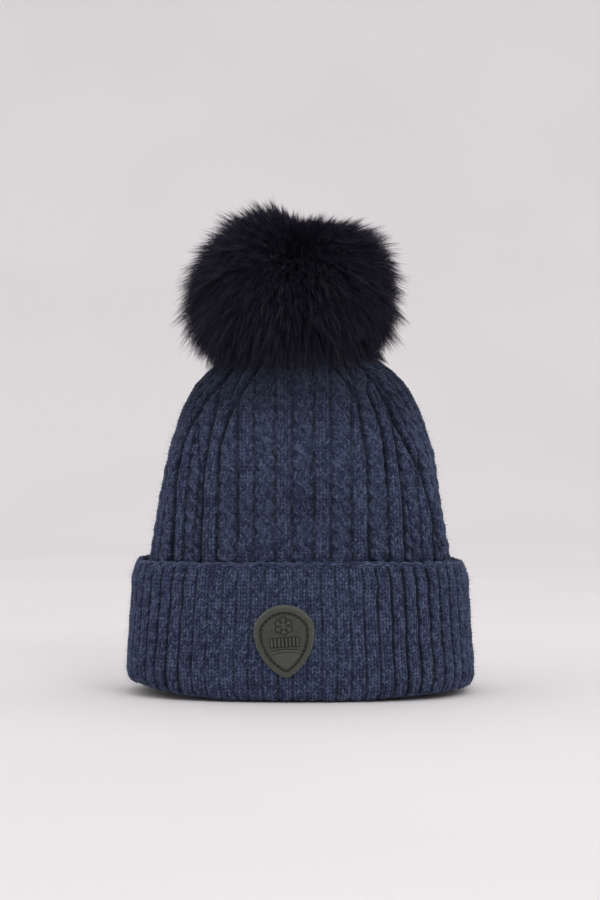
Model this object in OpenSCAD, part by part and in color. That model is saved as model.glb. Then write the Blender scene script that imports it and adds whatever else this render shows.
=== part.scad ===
// Pom pom beanie: a cable-knit crown, a turned-up rib cuff with a stitched shield patch,
// a fleece lining, a care label, and a fur pom pom that snaps on and off.
// Millimetres. +Z up, front towards -Y, origin in the middle of the fold that the hat stands on.

/* [Hat] */
// Width of the cuff at its widest
cuff_w = 218; // [200:1:236]
// Depth of the cuff, front to back
cuff_d = 150; // [140:1:165]
// Height of the turned-up cuff with its bound-off edge
cuff_h = 84.5; // [78:0.5:92]
// Height of the crown above the fold
crown_h = 222; // [218:1:230]
// Thickness of one layer of the crown's knit
knit_t = 4; // [3.5:0.5:4.5]
// Number of two-stitch ribs round the cuff
cuff_ribs = 68; // [60:4:76]
// Number of cable-and-rib repeats round the crown
crown_repeats = 22; // [18:4:26]
// Thickness of the fleece lining
fleece_t = 2.2; // [1.5:0.1:2.5]

/* [Pom pom] */
// Diameter of the fur across its tips
fur_d = 146; // [120:2:150]
// Height of the fur above its middle
fur_up = 57; // [50:1:60]
// Outer radius of the pelt ball inside the fur
pelt_r = 25; // [24:0.5:28]

/* [Snap] */
// Radius of the snap's four round flanges
snap_flange_r = 6.5; // [6:0.25:7]
// Radius of the stud's head
stud_head_r = 3.3; // [3:0.1:3.4]

/* [Patch] */
// Width of the shield patch
patch_w = 35.5; // [30:0.5:42]
// Height of the shield patch
patch_h = 43; // [40:0.5:46]
// Thickness of the patch with its felt backing
patch_t = 2.4; // [2:0.1:3]

/* [Care label] */
// Width of the care label
label_w = 28; // [20:1:36]
// Length of the part that hangs free
label_l = 32; // [24:1:36]

/* [Hidden] */

navy = [0.21, 0.24, 0.33];
olive = [0.26, 0.27, 0.25];
steel = [0.62, 0.62, 0.64];
fur_black = [0.07, 0.07, 0.1];

sides = 48;          // facets round each smooth soft ring
square = 2.5;        // superellipse power of the hat's plan: 2 is an ellipse
fine = 64;           // $fn of the turned parts
gap = 0.3;           // clearance between pieces that must not touch

half_w = cuff_w / 2;
half_d = cuff_d / 2;
link_z = cuff_h - 6.5;               // where the crown is linked to the cuff's inner layer
edge_z = cuff_h - 3;                 // top of the turned-up layer, under its bound-off edge

// Directions that cut the cuff's plan outline into n equal lengths.
function bend(v, p) = sign(v) * pow(abs(v), 2 / p);
function plan(t) = [half_w * bend(cos(t), square), half_d * bend(sin(t), square)];
lengths = [for (i = 0, l = 0; i <= 720; l = l + norm(plan((i + 1) / 2) - plan(i / 2)), i = i + 1)
    [l, i / 2]];
function directions(n) = [for (j = [0:n - 1]) lookup(lengths[720][0] * j / n, lengths)];
smooth_turn = directions(sides);
cuff_turn = directions(cuff_ribs * 2);
crown_turn = directions(crown_repeats * 4);

// How deep each point round the knit dips: one rib and furrow, and one rib, furrow, cable and furrow.
cuff_dips = [0, 0.9];
crown_dips = [0.5, 1.5, 0, 1.5];

// Plan outline of one ring. A station is [z, half width, half depth, power, share of the dips].
function ring(s, turn = smooth_turn, dips = [0]) = [for (i = [0:len(turn) - 1])
    let (t = turn[i], d = is_undef(s[4]) ? 0 : s[4] * dips[i % len(dips)])
    [(s[1] - d) * bend(cos(t), s[3]), (s[2] - d) * bend(sin(t), s[3]), s[0]]];

// Crown: stations of its outer face from the linking seam to the gather hole.
// Each row is [share of the way up, half width, half depth, power] and the sizes scale with the cuff.
crown_rows = [[0, 0.870, 0.815, 2.5], [0.10, 0.853, 0.830, 2.5], [0.21, 0.830, 0.845, 2.5],
              [0.40, 0.789, 0.853, 2.4], [0.53, 0.752, 0.848, 2.4], [0.625, 0.711, 0.830, 2.3],
              [0.73, 0.656, 0.795, 2.2], [0.815, 0.580, 0.740, 2.1], [0.88, 0.490, 0.650, 2],
              [0.93, 0.385, 0.530, 2], [0.972, 0.245, 0.345, 2], [0.993, 0.120, 0.170, 2]];
gather_r = 2.8;
crown_outer = concat(
    [for (r = crown_rows)
        [link_z + r[0] * (crown_h - link_z), r[1] * half_w, r[2] * half_d, r[3], min(1, r[1] * 1.6)]],
    [[crown_h, 6, 6, 2], [crown_h, gather_r, gather_r, 2]]);

// A station moved inwards by t along the outline's own normal.
function normal(s, i) = let (
    a = s[max(i - 1, 0)],
    b = s[min(i + 1, len(s) - 1)],
    l = norm([b[0] - a[0], b[1] - a[1]])) [(b[0] - a[0]) / l, (a[1] - b[1]) / l];
function inset(s, t) = [for (i = [0:len(s) - 1]) let (n = normal(s, i))
    [s[i][0] - t * n[1], s[i][1] - t * n[0], s[i][2] - t * n[0], s[i][3]]];
function reversed(s) = [for (i = [len(s) - 1:-1:0]) s[i]];

crown_inner = concat(
    [[link_z, crown_outer[0][1] - knit_t, crown_outer[0][2] - knit_t, square]],
    [for (i = [1:len(crown_outer) - 3]) inset(crown_outer, knit_t)[i]],
    [[crown_h - knit_t, 6, 6, 2], [crown_h - knit_t, gather_r, gather_r, 2]]);

// Cuff: its section as [z, distance in from the widest line], once round from the fold.
cuff_outside = [[0, 6], [1.2, 3], [4, 1.2], [10, 0.2], [18, 0], [35, 1.5], [edge_z - 21, 4],
                [edge_z - 5, 5.5], [edge_z, 7.2]];
cuff_pocket = [[edge_z, 10.8], [edge_z - 5, 10.6], [50, 8.6], [25, 6.8], [13, 6.6], [13, 9.4],
               [25, 10.2], [50, 12]];
cuff_inside = [[50, 16.4], [25, 14.6], [12, 13.6], [4, 12.6], [1.2, 11.5], [0, 9]];
function cuff_station(p, dip = 0) = [p[0], half_w - p[1], half_d - p[1], square, dip];
cuff_loop = concat([for (p = cuff_outside) cuff_station(p, min(1, p[0] / 4))],
    [for (p = cuff_pocket) cuff_station(p)],
    [crown_outer[0], crown_inner[0]], [for (p = cuff_inside) cuff_station(p)]);
// How far in the cuff's outer face is at a height between 18 and edge_z - 21.
patch_slope = 4 / (edge_z - 39);

// Lining: stations of its outer face, just inside the cuff's inner layer and the crown.
lining_gap = 0.8;
lining_foot = 22;
lining_top = crown_h - 8.6;
lining_outer = concat(
    [[lining_foot, half_w - 14.4 - lining_gap, half_d - 14.4 - lining_gap, square],
     [50, half_w - 16.4 - lining_gap, half_d - 16.4 - lining_gap, square]],
    [for (i = [0:9]) let (s = inset(crown_inner, lining_gap + i * 0.25)[i])
        [min(s[0], lining_top - 1.5), s[1], s[2], s[3]]],
    [[lining_top - 0.6, 14, 12, 2], [lining_top, 5, 5, 2], [lining_top, 1.2, 1.2, 2]]);

// A closed skin through a loop of stations, each joined to the next and the last to the first.
module ring_loft(loop, turn = smooth_turn, dips = [0]) {
    n = len(loop);
    w = len(turn);
    points = [for (s = loop) for (p = ring(s, turn, dips)) p];
    faces = [for (j = [0:n - 1]) for (i = [0:w - 1])
        let (k = (j + 1) % n, m = (i + 1) % w, a = j * w + i, b = j * w + m, c = k * w + m, d = k * w + i)
        each [[a, c, b], [a, d, c]]];
    polyhedron(points, faces);
}

// A round cord that follows one station's ring.
module ring_cord(s, r, turn = smooth_turn, corners = 6) {
    ring_loft([for (i = [0:corners - 1]) let (t = 360 * i / corners)
        [s[0] + r * sin(t), s[1] + r * cos(t), s[2] + r * cos(t), s[3]]], turn);
}

// A round cord through points in the plane x = 0.
module seam_cord(path, r, corners = 8) {
    n = len(path);
    points = [for (j = [0:n - 1]) let (
        a = path[max(j - 1, 0)],
        b = path[min(j + 1, n - 1)],
        l = norm(b - a),
        u = [b[1] - a[1], a[0] - b[0]] / l)
        for (i = [0:corners - 1]) let (t = 360 * i / corners)
            [r * cos(t), path[j][0] + r * sin(t) * u[0], path[j][1] + r * sin(t) * u[1]]];
    walls = [for (j = [0:n - 2]) for (i = [0:corners - 1])
        let (m = (i + 1) % corners, a = j * corners + i, b = j * corners + m)
        each [[a, b + corners, b], [a, a + corners, b + corners]]];
    polyhedron(points, concat(walls, [[for (i = [0:corners - 1]) i]],
        [[for (i = [corners - 1:-1:0]) (n - 1) * corners + i]]));
}

module crown_knit() {
    color(navy) ring_loft(concat(crown_outer, reversed(crown_inner)), crown_turn, crown_dips);
}

module rib_cuff() {
    color(navy) ring_loft(cuff_loop, cuff_turn, cuff_dips);
}

// The chain of bound-off stitches along the cuff's top edge, half round on a flat foot.
module cuff_bind_off() {
    color(navy * 1.1) ring_loft([for (p = [[0, 7.1], [1.2, 6.7], [2.4, 7.6], [3, 9], [2.4, 10.4],
                                           [1.2, 11.3], [0, 10.9]])
        cuff_station([edge_z + p[0], p[1]])], directions(cuff_ribs));
}

module linking_seam() {
    inside = inset(crown_inner, 0.45)[0];
    color(navy * 0.8) ring_cord([link_z, inside[1], inside[2], square], 0.3, crown_turn);
}

// The seam that closes the crown's knitted panel at the back, from just over the linking seam
// to the gather.
module back_seam() {
    first = inset(crown_inner, 0.5)[0];
    path = [for (i = [1:8]) inset(crown_inner, 0.5)[i]];
    color(navy * 0.8) seam_cord(concat([[first[2], link_z + 1.5]], [for (s = path) [s[2], s[0]]]), 0.22, 6);
}

// Yarn drawn tight round the crown's top, under the pom pom.
module crown_gather_yarn() {
    color(navy * 0.9) translate([0, 0, crown_h + 0.8])
        rotate_extrude($fn = fine) translate([9, 0]) circle(0.9, $fn = 24);
}

module fleece_lining() {
    color("dimgray") ring_loft(concat(lining_outer, reversed(concat(
        [[lining_foot, lining_outer[0][1] - fleece_t, lining_outer[0][2] - fleece_t, square]],
        [for (i = [1:11]) inset(lining_outer, fleece_t)[i]],
        [[lining_top - 0.6 - fleece_t, 14, 12, 2], [lining_top - fleece_t, 5, 5, 2],
         [lining_top - fleece_t, 1.2, 1.2, 2]]))));
}

// Overlock thread that sews the lining's lower edge to the cuff's inner layer.
module lining_seam() {
    color(navy * 0.6) ring_cord([lining_foot - 0.95, lining_outer[0][1] - 0.3, lining_outer[0][2] - 0.3,
        square], 0.85);
}

// Snap: heights of its pieces, from the inside of the crown up to the pom pom's base.
felt_z = crown_h - knit_t - 2.8;
stud_z = crown_h + 0.1;
socket_z = stud_z + 1.7;
base_z = socket_z + 5;
post_r = 1.9;
rivet_r = 1.5;

module crown_felt_disc() {
    color("darkslategray") translate([0, 0, felt_z]) difference() {
        cylinder(h = 1.6, r = 10.5, $fn = fine);
        translate([0, 0, -1]) cylinder(h = 4, r = post_r + gap, $fn = fine);
    }
}

module snap_post() {
    color(steel) rotate_extrude($fn = fine)
        polygon([[0, felt_z - 1.1], [snap_flange_r - 0.3, felt_z - 1.1], [snap_flange_r, felt_z - 0.8],
                 [snap_flange_r, felt_z - 0.1], [post_r, felt_z - 0.1], [post_r, stud_z + 2.6],
                 [post_r - 0.3, stud_z + 2.9], [0, stud_z + 2.9]]);
}

module snap_stud() {
    bore_r = post_r + 0.05;
    color(steel) rotate_extrude($fn = fine)
        polygon([[bore_r, stud_z], [snap_flange_r, stud_z], [snap_flange_r, stud_z + 0.7],
                 [snap_flange_r - 0.4, stud_z + 1], [stud_head_r - 0.4, stud_z + 1],
                 [stud_head_r - 0.4, stud_z + 2.6], [stud_head_r, stud_z + 3],
                 [stud_head_r, stud_z + 3.8], [stud_head_r - 0.6, stud_z + 4.4], [0, stud_z + 4.4],
                 [0, stud_z + 3.2], [bore_r, stud_z + 3.2]]);
}

// Open ring of spring wire in the socket's groove, which closes on the stud's neck.
module snap_ring_spring() {
    wire_r = 0.35;
    color(steel) translate([0, 0, socket_z + 1.6]) rotate([0, 0, 20])
        rotate_extrude(angle = 320, $fn = fine) translate([stud_head_r + gap + wire_r, 0])
            circle(wire_r, $fn = 24);
}

module snap_socket() {
    mouth_r = stud_head_r + 0.3;
    color(steel) rotate_extrude($fn = fine)
        polygon([[mouth_r, socket_z], [snap_flange_r - 0.5, socket_z], [snap_flange_r, socket_z + 0.5],
                 [snap_flange_r, socket_z + 4.3], [snap_flange_r - 0.5, socket_z + 4.8],
                 [rivet_r + 0.05, socket_z + 4.8], [rivet_r + 0.05, socket_z + 3.6],
                 [mouth_r, socket_z + 3.6], [mouth_r, socket_z + 2.2], [mouth_r + 1, socket_z + 2.2],
                 [mouth_r + 1, socket_z + 1], [mouth_r, socket_z + 1]]);
}

module snap_cap() {
    color(steel) rotate_extrude($fn = fine)
        polygon([[0, socket_z + 3.8], [rivet_r, socket_z + 3.8], [rivet_r, base_z + 2.1],
                 [snap_flange_r, base_z + 2.1], [snap_flange_r, base_z + 2.8],
                 [snap_flange_r - 0.4, base_z + 3.1], [0, base_z + 3.1]]);
}

module pompom_base_disc() {
    color("black") translate([0, 0, base_z]) difference() {
        cylinder(h = 2, r = 20, $fn = fine);
        translate([0, 0, -1]) cylinder(h = 4, r = rivet_r + 0.2, $fn = fine);
    }
}

// Pelt: a bag of hide drawn shut over the base disc.
pelt_t = 1.4;
pelt_mouth_z = base_z + 2.2;
pelt_z = pelt_mouth_z + pelt_r * 0.9;

cord_r = sqrt(pow(pelt_r + 0.9, 2) - pow(pelt_z - pelt_mouth_z - 0.8, 2));

module ball_above(r, floor_z) {
    intersection() {
        translate([0, 0, pelt_z]) sphere(r, $fn = fine);
        translate([0, 0, floor_z]) cylinder(h = 4 * pelt_r, r = 2 * pelt_r, $fn = fine);
    }
}

module pompom_pelt() {
    color(fur_black) difference() {
        ball_above(pelt_r, pelt_mouth_z);
        translate([0, 0, pelt_z]) sphere(pelt_r - pelt_t, $fn = fine);
    }
}

module pompom_drawcord() {
    color("black") translate([0, 0, pelt_mouth_z + 0.8])
        rotate_extrude($fn = fine) translate([cord_r, 0]) circle(0.8, $fn = 24);
}

module pompom_fill() {
    color("white") ball_above(pelt_r - pelt_t - gap, base_z + 3.4);
}

// Fur: a flattened ball, squarer below where it spreads over the crown.
fur_r = fur_d / 2;
fur_mid = crown_h + 28;
fur_down = 52;
fur_steps = 12;
function quadrant(up, power) = [for (i = [0:fur_steps]) let (t = 90 * i / fur_steps)
    [fur_r * pow(cos(t), 2 / power), fur_mid + up * pow(sin(t), 2 / power)]];
module fur_outline() {
    polygon(concat(reversed(quadrant(-fur_down, 3)), [for (i = [1:fur_steps]) quadrant(fur_up, 2.2)[i]]));
}

// The space under the fur that the crown fills as the pom pom turns.
fur_lift = 1.6;
module crown_clearance() {
    polygon(concat([[0, 0], [crown_outer[0][1] + fur_lift, 0]],
        [for (i = [2:11]) [crown_outer[i][1] + fur_lift, crown_outer[i][0] + fur_lift]],
        [[12, crown_h + 2.2], [0, crown_h + 2.2]]));
}

module pompom_fur() {
    color(fur_black) difference() {
        rotate_extrude($fn = fine) fur_outline();
        rotate_extrude($fn = fine) crown_clearance();
        translate([0, 0, pelt_z]) sphere(pelt_r + gap, $fn = fine);
        translate([0, 0, crown_h]) cylinder(h = base_z - crown_h, r = snap_flange_r + 1, $fn = fine);
        translate([0, 0, base_z - 0.2]) cylinder(h = 4.4, r = 20.4, $fn = fine);
    }
}

// Patch: a shield bounded by two side arcs and a top arc. Its own plane leans with the cuff.
patch_x = -9.5;
patch_z = 36.5;
patch_turn = 4;                                           // anticlockwise, seen from the front
widest = patch_h * 0.16;                                  // height of the shoulders over the middle
side_r = (pow(patch_w / 2, 2) + pow(patch_h / 2 + widest, 2)) / patch_w;
side_c = [patch_w / 2 - side_r, widest];
top_rise = patch_h * 0.24;
top_r = (pow(patch_w / 2, 2) + pow(top_rise, 2)) / (2 * top_rise);
top_c = [0, patch_h / 2 - top_r];

module shield(inset = 0) {
    intersection() {
        translate(side_c) circle(side_r - inset, $fn = 128);
        translate([-side_c[0], side_c[1]]) circle(side_r - inset, $fn = 128);
        union() {
            translate(top_c) circle(top_r - inset, $fn = 128);
            translate([-patch_w, top_c[1] - 2 * patch_h]) square([2 * patch_w, 2 * patch_h]);
        }
    }
}

module on_cuff_front(out) {
    lean = atan(patch_slope);
    face_y = -(half_d - patch_slope * (patch_z - 18));
    translate([patch_x, face_y - out, patch_z]) rotate([90 - lean, 0, 0]) rotate(patch_turn) children();
}

backing_t = 0.8;
stitch_inset = 4;

// The raised design: a plain six-armed snowflake over a row of bars and an arched line.
module snowflake(r, w) {
    for (a = [30:60:330]) rotate(a) {
        translate([0, -w / 2]) square([r, w]);
        for (b = [-50, 50]) translate([r * 0.55, 0]) rotate(b) translate([0, -w / 2]) square([r * 0.36, w]);
    }
    circle(w, $fn = 24);
}

module bar_row(count, pitch, w, h) {
    for (i = [0:count - 1]) translate([(i - (count - 1) / 2) * pitch - w / 2, -h / 2]) square([w, h]);
}

module arched_line(r, w, half_angle) {
    translate([0, -r]) intersection() {
        difference() {
            circle(r, $fn = 128);
            circle(r - w, $fn = 128);
        }
        polygon([[0, 0], 2 * r * [-sin(half_angle), cos(half_angle)], 2 * r * [sin(half_angle), cos(half_angle)]]);
    }
}

module shield_patch() {
    leather_t = patch_t - backing_t;
    color(olive) on_cuff_front(gap + backing_t) {
        difference() {
            linear_extrude(leather_t) shield();
            translate([0, 0, leather_t - 0.5]) linear_extrude(1) difference() {
                shield(stitch_inset - 0.6);
                shield(stitch_inset + 0.6);
            }
        }
        translate([0, 0, leather_t - 0.1]) linear_extrude(0.5) {
            translate([0, 9.6]) snowflake(5.4, 0.8);
            bar_row(8, 2.2, 1.1, 5);
            translate([0, -4.6]) arched_line(27, 0.8, 20);
        }
    }
}

module patch_felt_backing() {
    color("darkolivegreen") on_cuff_front(gap) linear_extrude(backing_t - 0.05)
        shield(0.5);
}

// Stitches: where the two groove arcs meet, and short thread bars spaced along them.
function meet(c1, r1, c2, r2) = let (
    d = norm(c2 - c1),
    a = (r1 * r1 - r2 * r2 + d * d) / (2 * d),
    h = sqrt(r1 * r1 - a * a),
    u = (c2 - c1) / d) c1 + a * u + h * [-u[1], u[0]];
side_path_r = side_r - stitch_inset;
top_path_r = top_r - stitch_inset;
shoulder = meet(side_c, side_path_r, top_c, top_path_r);
shoulder_side = atan2(shoulder[1] - side_c[1], shoulder[0] - side_c[0]);
shoulder_top = atan2(shoulder[1] - top_c[1], shoulder[0] - top_c[0]);
tip_side = -acos(-side_c[0] / side_path_r);
side_stitches = 12;
top_stitches = 9;

module stitch_on(c, r, angle) {
    translate([c[0] + r * cos(angle), c[1] + r * sin(angle)]) rotate(angle + 90)
        translate([-0.95, -0.28]) cube([1.9, 0.56, 0.4]);
}

module patch_stitching() {
    color("black") on_cuff_front(gap + patch_t - 0.45) {
        for (m = [0, 1]) mirror([m, 0, 0]) for (i = [0.5:side_stitches - 0.5])
            stitch_on(side_c, side_path_r, shoulder_side + (tip_side - shoulder_side) * i / side_stitches);
        for (i = [0.5:top_stitches - 0.5])
            stitch_on(top_c, top_path_r, shoulder_top + (180 - 2 * shoulder_top) * i / top_stitches);
    }
}

// Care label: a tab sewn flat to the lining at the back, and the tape that hangs from it.
label_t = 0.5;
label_z = link_z - 6;
label_y = lining_outer[2][2] - fleece_t - 1.6;
tab_h = 7;

module label_tab() {
    color("white") translate([-label_w / 2, label_y, label_z]) cube([label_w, label_t, tab_h]);
}

module label_stitching() {
    color("gray") for (i = [-5:5]) translate([i * label_w / 12 - 0.8, label_y - 0.3, label_z + 5])
        cube([1.6, 0.3, 0.4]);
}

module care_label() {
    color("white") translate([-label_w / 2, label_y, label_z - gap - label_l])
        cube([label_w, label_t, label_l]);
}

crown_knit();
rib_cuff();
cuff_bind_off();
linking_seam();
back_seam();
crown_gather_yarn();
fleece_lining();
lining_seam();
crown_felt_disc();
snap_post();
snap_stud();
shield_patch();
patch_felt_backing();
patch_stitching();
label_tab();
label_stitching();
care_label();
snap_ring_spring();
snap_socket();
snap_cap();
pompom_base_disc();
pompom_pelt();
pompom_drawcord();
pompom_fill();
pompom_fur();
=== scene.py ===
import math

import bpy
import numpy as np
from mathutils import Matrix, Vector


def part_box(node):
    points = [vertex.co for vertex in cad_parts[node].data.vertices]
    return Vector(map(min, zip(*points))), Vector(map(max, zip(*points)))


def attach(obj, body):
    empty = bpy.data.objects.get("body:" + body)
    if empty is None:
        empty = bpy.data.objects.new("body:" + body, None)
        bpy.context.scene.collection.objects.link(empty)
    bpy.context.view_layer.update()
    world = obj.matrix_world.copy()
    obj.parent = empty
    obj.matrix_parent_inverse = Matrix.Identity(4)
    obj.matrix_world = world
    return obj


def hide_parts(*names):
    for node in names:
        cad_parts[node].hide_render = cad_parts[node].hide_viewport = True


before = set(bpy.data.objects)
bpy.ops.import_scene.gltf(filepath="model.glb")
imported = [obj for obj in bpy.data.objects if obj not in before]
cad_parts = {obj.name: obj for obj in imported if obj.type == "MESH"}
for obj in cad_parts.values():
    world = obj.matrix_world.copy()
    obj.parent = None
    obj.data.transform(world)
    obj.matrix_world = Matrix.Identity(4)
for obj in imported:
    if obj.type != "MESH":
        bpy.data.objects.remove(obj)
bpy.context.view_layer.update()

# Sizes are in millimetres here and become metres when a mesh is made.
MM = 0.001
FRONT, BACK = 0.75, 0.25            # turns round the hat from +X, anticlockwise from above


def corners(node):
    low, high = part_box(node)
    return np.array(low) / MM, np.array(high) / MM


# ---- Driving sizes, from the CAD nodes ----
CUFF = corners("rib_cuff")
HALF_W, HALF_D = CUFF[1][0], CUFF[1][1]
EDGE_Z = CUFF[1][2]
LINK_Z, CROWN_Z = corners("crown_knit")[0][2], corners("crown_knit")[1][2]
LABEL = corners("care_label")
TAB = corners("label_tab")
SQUARE = 2.5                        # superellipse power of the hat's plan
ROW = 2.4                           # height of one row of stitches
CUFF_RIBS = 68
CROWN_REPEATS = 22                  # of one cable and one rib
KNIT_T, LINING_T = 4.0, 2.2         # thickness of one layer
LINING_FOOT, LINING_TOP = corners("fleece_lining")[0][2], corners("fleece_lining")[1][2]

rng = np.random.default_rng(20)


# ---- Numbers on grids ----
def smooth(t):
    t = np.clip(t, 0, 1)
    return t * t * (3 - 2 * t)


def unit(v):
    return v / np.maximum(np.linalg.norm(v, axis=-1, keepdims=True), 1e-9)


def spline(x, xs, ys):
    """A smooth curve through the points (xs, ys), at x."""
    xs, ys = np.asarray(xs, float), np.asarray(ys, float)
    slope = np.gradient(ys, xs, axis=0)
    i = np.clip(np.searchsorted(xs, x) - 1, 0, len(xs) - 2)
    h = xs[i + 1] - xs[i]
    t = (x - xs[i]) / h
    if ys.ndim > 1:
        h, t = h[:, None], t[:, None]
    return ((1 + 2 * t) * (1 - t) ** 2 * ys[i] + t * (1 - t) ** 2 * h * slope[i]
            + t * t * (3 - 2 * t) * ys[i + 1] + t * t * (t - 1) * h * slope[i + 1])


def along(points):
    """Distance travelled at each point of an open line."""
    return np.concatenate([[0], np.cumsum(np.linalg.norm(np.diff(points, axis=0), axis=1))])


def soft_noise(rows, cols, cell_rows, cell_cols):
    """Smooth values from -1 to 1 on a rows x cols grid, which join up from the last column to the first."""
    n, m = int(rows / cell_rows) + 3, max(int(round(cols / cell_cols)), 3)
    knots = rng.uniform(-1, 1, (n, m))
    r, c = np.arange(rows) / cell_rows, np.arange(cols) / cols * m
    i, j = r.astype(int), c.astype(int)
    a, b = smooth(r - i)[:, None], smooth(c - j)[None]
    j, k = j % m, (j + 1) % m
    low = knots[i][:, j] * (1 - b) + knots[i][:, k] * b
    high = knots[i + 1][:, j] * (1 - b) + knots[i + 1][:, k] * b
    return low * (1 - a) + high * a


def circle(n):
    """n angles once round."""
    return np.arange(n) / n * 2 * np.pi


def polar(r, turn, z):
    """Points at radius r from the Z axis, at an angle and a height."""
    return np.stack(np.broadcast_arrays(r * np.cos(turn), r * np.sin(turn), z), -1)


def arcs(start, bend, end, steps):
    """Curved lines from start to end, pulled towards bend."""
    t = np.linspace(0, 1, steps)[None, :, None]
    return (1 - t) ** 2 * start[:, None] + 2 * t * (1 - t) * bend[:, None] + t * t * end[:, None]


def edge_reach(within, count, far, halvings):
    """How far out count rays leave a shape: within(distances) tells which points on them are inside it."""
    low, high = np.zeros(count), np.full(count, far)
    for _ in range(halvings):
        mid = (low + high) / 2
        inside = within(mid)
        low, high = np.where(inside, mid, low), np.where(inside, high, mid)
    return low


def ring(a, b, power, n):
    """n points spaced equally round a superellipse, anticlockwise from +X."""
    t = np.linspace(0, 2 * np.pi, 4097)
    x = a * np.sign(np.cos(t)) * np.abs(np.cos(t)) ** (2 / power)
    y = b * np.sign(np.sin(t)) * np.abs(np.sin(t)) ** (2 / power)
    l = np.concatenate([[0], np.cumsum(np.hypot(np.diff(x), np.diff(y)))])
    at = np.arange(n) / n * l[-1]
    return np.interp(at, l, x), np.interp(at, l, y)


def rings(stations, n):
    """A grid of points from stations of (z, half width, half depth, power)."""
    grid = np.zeros((len(stations), n, 3))
    for row, (z, a, b, power) in zip(grid, stations):
        row[:, 0], row[:, 1] = ring(a, b, power, n)
        row[:, 2] = z
    return grid


def grid_normals(grid, closed=False):
    around = np.roll(grid, -1, 1) - np.roll(grid, 1, 1)
    up = np.roll(grid, -1, 0) - np.roll(grid, 1, 0) if closed else np.gradient(grid, axis=0)
    return unit(np.cross(around, up))


# ---- Meshes ----
def make(name, points, faces, material, body, values=None, stands_for=()):
    """A piece from points in millimetres and a list of face arrays, riding on a body."""
    mesh = bpy.data.meshes.new(name)
    mesh.vertices.add(len(points))
    mesh.vertices.foreach_set("co", (np.asarray(points) * MM).astype(np.float32).ravel())
    corner = np.concatenate([f.ravel() for f in faces]).astype(np.int32)
    size = np.concatenate([np.full(len(f), f.shape[1]) for f in faces])
    mesh.loops.add(len(corner))
    mesh.loops.foreach_set("vertex_index", corner)
    mesh.polygons.add(len(size))
    mesh.polygons.foreach_set("loop_start", np.concatenate([[0], np.cumsum(size)[:-1]]).astype(np.int32))
    mesh.update(calc_edges=True)
    mesh.shade_smooth()
    for key, value in (values or {}).items():
        layer = mesh.attributes.new(key, "FLOAT", "POINT")
        layer.data.foreach_set("value", np.asarray(value, np.float32).ravel())
    for m in material if isinstance(material, list) else [material]:
        mesh.materials.append(m)
    piece = bpy.data.objects.new(name, mesh)
    bpy.context.scene.collection.objects.link(piece)
    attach(piece, body)
    if stands_for:
        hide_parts(*stands_for)
    return piece


def quads(rows, cols, close_rows=False):
    """Faces of a grid that closes round its columns, and round its rows too if asked."""
    i, j = np.meshgrid(np.arange(rows if close_rows else rows - 1), np.arange(cols), indexing="ij")
    k, m = (i + 1) % rows, (j + 1) % cols
    return np.stack([i * cols + j, i * cols + m, k * cols + m, k * cols + j], -1).reshape(-1, 4)


def tube(path, radius, n, relief=None):
    """Points and faces of a closed tube round a closed path. relief(arc, turn) scales its radius."""
    ahead = unit(np.roll(path, -1, 0) - np.roll(path, 1, 0))
    side = unit(np.cross(ahead, [0, 0, 1]))
    up = np.cross(side, ahead)
    turn = circle(n)
    arc = along(np.vstack([path, path[:1]]))[:-1]
    r = np.full((len(path), n), float(radius))
    if relief is not None:
        r = radius * relief(arc[:, None], turn[None])
    grid = (path[:, None] + r[..., None] * (np.cos(turn)[None, :, None] * side[:, None]
                                            + np.sin(turn)[None, :, None] * up[:, None]))
    return grid.reshape(-1, 3), quads(len(path), n, True)


def strand_mesh(lines, radii):
    """Three-sided tapering strands: lines is (count, steps, 3), and each ends in a point."""
    count, steps, _ = lines.shape
    ahead = unit(lines[:, -1] - lines[:, 0])
    side = unit(np.cross(ahead, rng.normal(size=(count, 3))))
    other = np.cross(ahead, side)
    turn = np.arange(3) * 2 * np.pi / 3
    across = np.cos(turn)[:, None] * side[:, None] + np.sin(turn)[:, None] * other[:, None]
    walls = lines[:, :-1, None] + radii[..., None, None] * across[:, None]
    points = np.concatenate([walls.reshape(count, -1, 3), lines[:, -1:]], axis=1)
    per = points.shape[1]
    quad = np.array([[k * 3 + m, k * 3 + (m + 1) % 3, k * 3 + 3 + (m + 1) % 3, k * 3 + 3 + m]
                     for k in range(steps - 2) for m in range(3)])
    last = (steps - 2) * 3
    cap = np.array([[last + m, last + (m + 1) % 3, per - 1] for m in range(3)] + [[2, 1, 0]])
    start = (np.arange(count) * per)[:, None, None]
    return points.reshape(-1, 3), [(start + quad).reshape(-1, 4), (start + cap).reshape(-1, 3)]


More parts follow.
